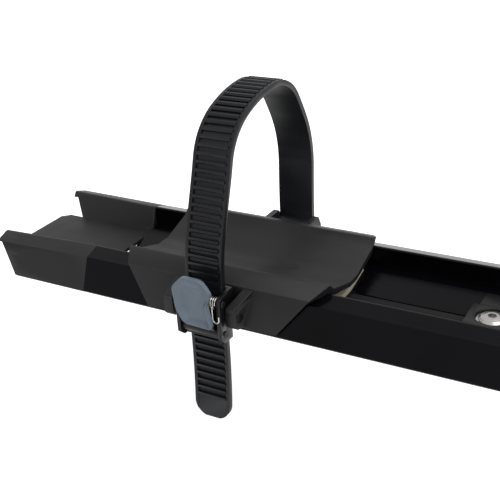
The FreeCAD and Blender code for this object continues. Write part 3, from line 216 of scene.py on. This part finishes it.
# Radius of the edge that moulding, casting or tumbling leaves on each piece
EDGE_RADII = {
    "rear_end_cap": 0.7 * MM, "front_end_cap": 0.7 * MM, "wheel_saddle": 0.7 * MM, "ladder_strap": 0.2 * MM,
    "buckle_base": 0.4 * MM, "ratchet_lever": 0.9 * MM, "holding_pawl": 0.3 * MM, "saddle_glide": 0.5 * MM,
    "buckle_pivot_pins": 0.15 * MM,
    "rear_clamp_block": 0.5 * MM, "front_clamp_block": 0.5 * MM, "rear_block_carrier": 0.4 * MM,
    "front_block_carrier": 0.4 * MM, "rear_foot_pad": 1.0 * MM, "front_foot_pad": 1.0 * MM,
    "fork_head": 1.2 * MM, "cam_lever": 0.8 * MM, "skewer_nut": 0.5 * MM, "cam_cup": 0.4 * MM,
    "near_axle_bush": 0.3 * MM, "far_axle_bush": 0.3 * MM,
}
BEVEL_STEPS = 2
SHARP = math.radians(32)
FLAT = math.radians(0.5)
WELD = 0.002 * MM


def finish_node(node):
    """Give a piece's own mesh its finish."""
    node.data.materials.clear()
    node.data.materials.append(FINISHES[node.name])


WHEEL_PLACE = -148.6 * MM
RIDGE = 32.5 * MM
ACROSS = Vector((1, 0, 0))


def trough_height(line, places):
    """Height above the ridge of the saddle's top at a distance from the centre plane."""
    for (near_line, near_height), (far_line, far_height) in zip(places, places[1:]):
        if line <= far_line:
            return near_height + (far_height - near_height) * (line - near_line) / (far_line - near_line)
    return places[-1][1]


# Lines and heights of the saddle's trough in its solid, and as it is moulded, a vee with steeper brinks
PLAIN_TROUGH = [(0.0, -2.3 * MM), (8.5 * MM, -2.3 * MM), (32.6 * MM, 5.3 * MM)]
VEE_TROUGH = [(0.0, -6.2 * MM), (5.0 * MM, -6.2 * MM), (26.9 * MM, 0.6 * MM), (32.6 * MM, 5.3 * MM)]
TROUGH_EDGE = 31.0 * MM
TROUGH_LINES = (-26.9 * MM, -5.0 * MM, 5.0 * MM, 26.9 * MM)
# Lowest place of the trough's wall, the saddle's half length and the share of it where its ends begin
WALL_LOW = RIDGE - 9 * MM
SADDLE_HALF, ENDS_FROM = 67.0 * MM, 0.7
# Blind holes for the keeper's screws: places along the saddle, reach across and top
SCREW_SPREAD, SCREW_BORE, BORE_TOP = 28.0 * MM, 3.0 * MM, RIDGE - 6 * MM

# The near right ear leans in towards the buckle from where it leaves the saddle's side
EAR_NEAR, EAR_FAR, EAR_ROOT, EAR_FRONT = 19.5 * MM, 26.5 * MM, -46.0 * MM, -60.5 * MM
EAR_LEAN = 4.6 * MM


def lean_ear(place):
    """Shift a point of the near right ear, more the further it stands out."""
    along = place.x - WHEEL_PLACE
    if EAR_NEAR < along < EAR_FAR and place.y < EAR_ROOT:
        place.x -= EAR_LEAN * min((EAR_ROOT - place.y) / (EAR_ROOT - EAR_FRONT), 1.0)


def deepen_trough(body):
    """Make the trough a vee that runs out to the saddle's ends."""
    for line in TROUGH_LINES:
        geometry = body.verts[:] + body.edges[:] + body.faces[:]
        bmesh.ops.bisect_plane(body, geom=geometry, plane_co=(0, line, 0), plane_no=(0, 1, 0),
                               dist=0.01 * MM)
    for vertex in body.verts:
        lean_ear(vertex.co)
        line = abs(vertex.co.y)
        along = vertex.co.x - WHEEL_PLACE
        beside_screw = max(line, abs(abs(along) - SCREW_SPREAD)) < SCREW_BORE
        in_bore = beside_screw and vertex.co.z < BORE_TOP
        if line > TROUGH_EDGE or vertex.co.z < WALL_LOW or in_bore:
            continue
        vertex.co.z += trough_height(line, VEE_TROUGH) - trough_height(line, PLAIN_TROUGH)
        if abs(along) > ENDS_FROM * SADDLE_HALF:
            vertex.co.x = WHEEL_PLACE + math.copysign(SADDLE_HALF, along)


GLIDE_FRONT = WHEEL_PLACE + 63.0 * MM


def shorten_glide(body):
    """End the glide just behind the saddle's front edge."""
    for vertex in body.verts:
        vertex.co.x = min(vertex.co.x, GLIDE_FRONT)


# Rungs of the ladder strap: their tops' area, and how the teeth stand on them
RUNG_AREA, AREA_SLACK = 19.5 * 2.2 * MM * MM, 0.04
TOOTH_RISE = 0.8 * MM
TOOTH_LEAN = 0.95 * MM
BUCKLE_LOW, BUCKLE_HIGH = RIDGE - 31 * MM, RIDGE + 4 * MM


def raise_teeth(body):
    """Draw each rung out into a ratchet tooth that is steep towards the loop, but for those in the buckle."""
    tops = []
    for face in body.faces:
        place = face.calc_center_median()
        in_buckle = place.y < 0 and BUCKLE_LOW < place.z < BUCKLE_HIGH
        is_rung = len(face.verts) == 4 and abs(face.calc_area() / RUNG_AREA - 1) < AREA_SLACK
        if is_rung and not in_buckle:
            tops.append(face)
    for face in bmesh.ops.extrude_discrete_faces(body, faces=tops)["faces"]:
        outward = face.normal.copy()
        along = outward.cross(ACROSS)
        middle = face.calc_center_median()
        for vertex in face.verts:
            low = (vertex.co - middle).dot(along) < 0
            vertex.co += outward * TOOTH_RISE + along * (TOOTH_LEAN if low else 0)


# Pivot pin in the leaning ear: its collar ends at the ear's inner face, and its end inside the ear
PIN_COLLAR_START, PIN_COLLAR_END = 15.2 * MM, 16.4 * MM
PIN_IN_EAR, PIN_END = 24.0 * MM, 22.4 * MM


def draw_in_pin(body):
    """Shorten the right pivot pin to suit its ear."""
    for vertex in body.verts:
        along = vertex.co.x - WHEEL_PLACE
        if along > PIN_IN_EAR:
            vertex.co.x = WHEEL_PLACE + PIN_END
        elif along > PIN_COLLAR_START:
            vertex.co.x = WHEEL_PLACE + PIN_COLLAR_END


# Lever's face plate, its panel, and how far the panel's edge and floor are drawn out and in to dish it
LEVER_FACE, LEVER_BACK, LEVER_PANEL = -69.6 * MM, -66.6 * MM, -68.6 * MM
LEVER_PIN_HEIGHT = RIDGE - 3.5 * MM
PANEL_SHARE, PANEL_DROP = 0.78, 1.0 * MM
PANEL_BRINK, PANEL_FLOOR = 1.12, 0.84
PANEL_SINK = 1.2 * MM
CORNER_ROUND, CORNER_STEPS = 2.4 * MM, 4
LEVEL = 0.05 * MM


def dish_lever(body):
    """Round the corners of the lever's plate and slope the rim round its panel."""
    centre = Vector((WHEEL_PLACE, 0, LEVER_PIN_HEIGHT - PANEL_DROP))
    panel = [vertex for vertex in body.verts if abs(vertex.co.y - LEVER_PANEL) < LEVEL]
    brink = [edge.other_vert(vertex) for vertex in panel for edge in vertex.link_edges
             if abs(edge.other_vert(vertex).co.y - LEVER_FACE) < LEVEL]
    for vertices, share in ((panel, PANEL_FLOOR), (brink, PANEL_BRINK)):
        for vertex in set(vertices):
            vertex.co.x = centre.x + (vertex.co.x - centre.x) * share
            vertex.co.z = centre.z + (vertex.co.z - centre.z) * share
    for vertex in panel:
        vertex.co.y += PANEL_SINK
    corners = []
    for edge in body.edges:
        near, far = sorted(vertex.co.y for vertex in edge.verts)
        if abs(near - LEVER_FACE) < LEVEL and far > LEVER_BACK - LEVEL:
            corners.append(edge)
    bmesh.ops.bevel(body, geom=corners, offset=CORNER_ROUND, offset_type="OFFSET", segments=CORNER_STEPS,
                    profile=0.5, affect="EDGES", clamp_overlap=True, material=-1)


RESHAPES = {"wheel_saddle": deepen_trough, "saddle_glide": shorten_glide, "ladder_strap": raise_teeth,
            "buckle_pivot_pins": draw_in_pin, "ratchet_lever": dish_lever}


def round_edges(piece, radius):
    """Round a piece's sharp edges with a Bevel modifier."""
    bevel = piece.modifiers.new("edge", "BEVEL")
    bevel.width = radius
    bevel.segments = BEVEL_STEPS
    bevel.limit_method = "ANGLE"
    bevel.angle_limit = SHARP
    bevel.use_clamp_overlap = True
    bevel.harden_normals = True


def soften_node(name, radius):
    """Stand a copy with rounded edges in for a piece whose real edges are never sharp."""
    node = frame["nodes"][name]
    mesh = node.data.copy()
    body = bmesh.new()
    body.from_mesh(mesh)
    bmesh.ops.remove_doubles(body, verts=body.verts, dist=WELD)
    bmesh.ops.dissolve_limit(body, angle_limit=FLAT, verts=body.verts, edges=body.edges)
    if name in RESHAPES:
        RESHAPES[name](body)
    body.to_mesh(mesh)
    body.free()
    mesh.shade_smooth()
    piece = bpy.data.objects.new(name + "_softened", mesh)
    bpy.context.scene.collection.objects.link(piece)
    round_edges(piece, radius)
    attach(piece, node["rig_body"])
    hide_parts(name)


for cad_node in frame["nodes"].values():
    finish_node(cad_node)
for piece_name, radius in EDGE_RADII.items():
    soften_node(piece_name, radius)


# Small pieces that the solids have plainly or leave out
def new_piece(name, body, finish, rides_on, edge=0.0):
    """Turn a bmesh into a piece of the rack that rides on a body."""
    bmesh.ops.recalc_face_normals(body, faces=body.faces)
    mesh = bpy.data.meshes.new(name)
    body.to_mesh(mesh)
    body.free()
    mesh.shade_smooth()
    mesh.materials.append(finish)
    piece = bpy.data.objects.new(name, mesh)
    bpy.context.scene.collection.objects.link(piece)
    if edge:
        round_edges(piece, edge)
    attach(piece, rides_on)
    return piece


def add_prism(body, outline, length):
    """Draw an outline of (x, y, z) corners out along X."""
    face = body.faces.new([body.verts.new(corner) for corner in outline])
    drawn = bmesh.ops.extrude_face_region(body, geom=[face])["geom"]
    ends = [item for item in drawn if isinstance(item, bmesh.types.BMVert)]
    bmesh.ops.translate(body, verts=ends, vec=(length, 0, 0))


# Dark rubber lips that close the tray's slots, a dark sheet standing in for the shade seen in them (painted
# shade); they part around the feet's screws, rooted in the tray's floor
LIP_REACH = 4.7 * MM
LIP_ROOT, LIP_TIP = 1.3 * MM, 0.5 * MM
LIP_HEIGHT, LIP_EDGE = RIDGE - 19.3 * MM, 0.15 * MM
SLOTS = {"rear": (-230.0 * MM, 195.0 * MM), "front": (555.0 * MM, 865.0 * MM)}

for end, (start, stop) in SLOTS.items():
    shade_lips = bmesh.new()
    for side in (-1, 1):
        add_prism(shade_lips, [(start, side * LIP_REACH, LIP_HEIGHT - LIP_ROOT / 2),
                         (start, 0, LIP_HEIGHT - LIP_TIP / 2),
                         (start, 0, LIP_HEIGHT + LIP_TIP / 2),
                         (start, side * LIP_REACH, LIP_HEIGHT + LIP_ROOT / 2)], stop - start)
    # Painted shade: these dark strips stand where the slot would otherwise show the white floor
    new_piece(end + "_slot_shade_lips", shade_lips, EPDM_RUBBER, "tray", LIP_EDGE)

# Ribs that carry the saddle's ears up to its top edge
EAR_INNER, EAR_OUTER = 20.0 * MM, 26.0 * MM
EAR_RIB = [(-45.0, 0.4), (-60.4, -6.6), (-60.4, -11.0), (-45.0, -8.0)]

ribs = bmesh.new()
for low in (EAR_INNER, -EAR_OUTER):
    add_prism(ribs, [(WHEEL_PLACE + low, line * MM, RIDGE + height * MM) for line, height in EAR_RIB],
              EAR_OUTER - EAR_INNER)
for corner in ribs.verts:
    lean_ear(corner.co)
new_piece("saddle_ear_ribs", ribs, TEXTURED_PP, "saddle", 0.5 * MM)


# Lever's return spring in smooth round wire
SPRING_LINE, SPRING_DROP = -61.6 * MM, 3.5 * MM
SPRING_RADIUS, SPRING_WIRE = 3.1 * MM, 0.5 * MM
SPRING_START, SPRING_END = 6.0 * MM, 11.45 * MM
SPRING_TURNS, TURN_STEPS, WIRE_SIDES = 4, 28, 10

spring = bmesh.new()
bmesh.ops.create_circle(spring, radius=SPRING_WIRE, segments=WIRE_SIDES, cap_ends=False)
bmesh.ops.rotate(spring, verts=spring.verts, cent=(0, 0, 0), matrix=Matrix.Rotation(math.pi / 2, 3, "X"))
axle = Vector((WHEEL_PLACE + SPRING_START, SPRING_LINE, RIDGE - SPRING_DROP))
bmesh.ops.translate(spring, verts=spring.verts, vec=axle + Vector((0, 0, SPRING_RADIUS)))
bmesh.ops.rotate(spring, verts=spring.verts, cent=axle, matrix=Matrix.Rotation(math.pi / 2, 3, "X"))
coils = SPRING_TURNS * TURN_STEPS
bmesh.ops.spin(spring, geom=spring.verts[:] + spring.edges[:], cent=axle, axis=ACROSS,
               dvec=ACROSS * ((SPRING_END - SPRING_START) / coils), angle=2 * math.pi * SPRING_TURNS,
               steps=coils)

# The spring's tail: down past the cheek's front edge and up again in a hook
HOOK_LINE, HOOK_DROP, HOOK_RADIUS, HOOK_STEPS = -65.7 * MM, 11.7 * MM, 2.0 * MM, 12
HOOK_START, TAIL_TOP, TIP_RISE = 10.3 * MM, 8.0 * MM, 2.0 * MM


def only(kind, items):
    return [item for item in items if isinstance(item, kind)]


def draw_wire(rim, rise):
    """Draw the open end of a wire straight up or down, and give its new rim."""
    drawn = bmesh.ops.extrude_edge_only(spring, edges=rim)["geom"]
    bmesh.ops.translate(spring, verts=only(bmesh.types.BMVert, drawn), vec=(0, 0, rise))
    return only(bmesh.types.BMEdge, drawn)


tail = bmesh.ops.create_circle(spring, radius=SPRING_WIRE, segments=WIRE_SIDES, cap_ends=False)["verts"]
hook_height = RIDGE - HOOK_DROP
bmesh.ops.translate(spring, verts=tail, vec=(WHEEL_PLACE + HOOK_START, HOOK_LINE, hook_height + TAIL_TOP))
tail_rim = draw_wire(list({edge for vertex in tail for edge in vertex.link_edges}), -TAIL_TOP)
hooked = bmesh.ops.spin(spring, geom=tail_rim, axis=(0, -1, 0), angle=math.pi, steps=HOOK_STEPS,
                        cent=(WHEEL_PLACE + HOOK_START + HOOK_RADIUS, HOOK_LINE, hook_height))["geom_last"]
draw_wire(only(bmesh.types.BMEdge, hooked), TIP_RISE)
bmesh.ops.holes_fill(spring, edges=[edge for edge in spring.edges if edge.is_boundary], sides=WIRE_SIDES)
wound = new_piece("lever_spring_wire", spring, PLATED_STEEL, "saddle")
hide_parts("lever_spring")


# Stage: a pale floor below the strap's end, soft lamps and a white surrounding
FLOOR_CENTRE = (0.4, 0, -0.075)
FLOOR_HALF = 6.0
FLOOR_LIFT = 0.85
WORLD_LIGHT = 0.4
WHITE = (1.0, 1.0, 1.0, 1.0)


def seen_directly(tree, path):
    """One where a camera ray or a reflection meets the surface, and zero elsewhere."""
    inputs = {0: path.outputs["Is Camera Ray"], 1: path.outputs["Is Glossy Ray"]}
    return put(tree, "Math", inputs, operation="MAXIMUM").outputs["Value"]


def make_floor():
    """Lay the pale floor, which shows white but keeps the rack's shadow."""
    body = bmesh.new()
    bmesh.ops.create_grid(body, x_segments=1, y_segments=1, size=FLOOR_HALF)
    bmesh.ops.translate(body, verts=body.verts, vec=FLOOR_CENTRE)
    mesh = bpy.data.meshes.new("floor")
    body.to_mesh(mesh)
    body.free()
    floor = bpy.data.objects.new("floor", mesh)
    bpy.context.scene.collection.objects.link(floor)
    material = bpy.data.materials.new("pale_floor")
    material.use_nodes = True
    tree = material.node_tree
    seen = seen_directly(tree, put(tree, "LightPath"))
    lift = put(tree, "Math", {0: seen, 1: FLOOR_LIFT}, operation="MULTIPLY")
    set_shader(tree, tree.nodes["Principled BSDF"], Base_Color=linear("#e6e6e6"), Roughness=0.9,
               Specular_IOR_Level=0.0, Emission_Color=WHITE, Emission_Strength=lift.outputs["Value"])
    mesh.materials.append(material)


def make_world():
    """Light the rack evenly from a dim surrounding that is white where it is seen."""
    world = bpy.data.worlds.new("studio")
    world.use_nodes = True
    bpy.context.scene.world = world
    tree = world.node_tree
    path = put(tree, "LightPath")
    seen = put(tree, "Math", {0: seen_directly(tree, path), 1: path.outputs["Is Transmission Ray"]},
               operation="MAXIMUM")
    strength = put(tree, "MapRange", {"Value": seen.outputs["Value"], "To Min": WORLD_LIGHT, "To Max": 1.0})
    background = tree.nodes["Background"]
    background.inputs["Color"].default_value = WHITE
    tree.links.new(strength.outputs["Result"], background.inputs["Strength"])


def make_lamp(name, place, aim, width, height, power):
    """Hang a rectangular softbox at a place, turned to what it aims at."""
    lamp = bpy.data.lights.new(name, "AREA")
    lamp.shape = "RECTANGLE"
    lamp.size = width
    lamp.size_y = height
    lamp.energy = power
    holder = bpy.data.objects.new(name, lamp)
    bpy.context.scene.collection.objects.link(holder)
    look = (Vector(aim) - Vector(place)).to_track_quat("-Z", "Y").to_matrix().to_4x4()
    holder.matrix_world = Matrix.Translation(place) @ look


make_camera()
make_floor()
make_world()
make_lamp("overhead_softbox", (0.7, 0.2, 1.8), (-0.05, 0, 0), 1.6, 1.2, 24)
make_lamp("near_fill", (1.1, -1.5, 0.8), (-0.1, 0, 0), 1.0, 0.8, 9)

bpy.context.scene.view_settings.view_transform = "Standard"
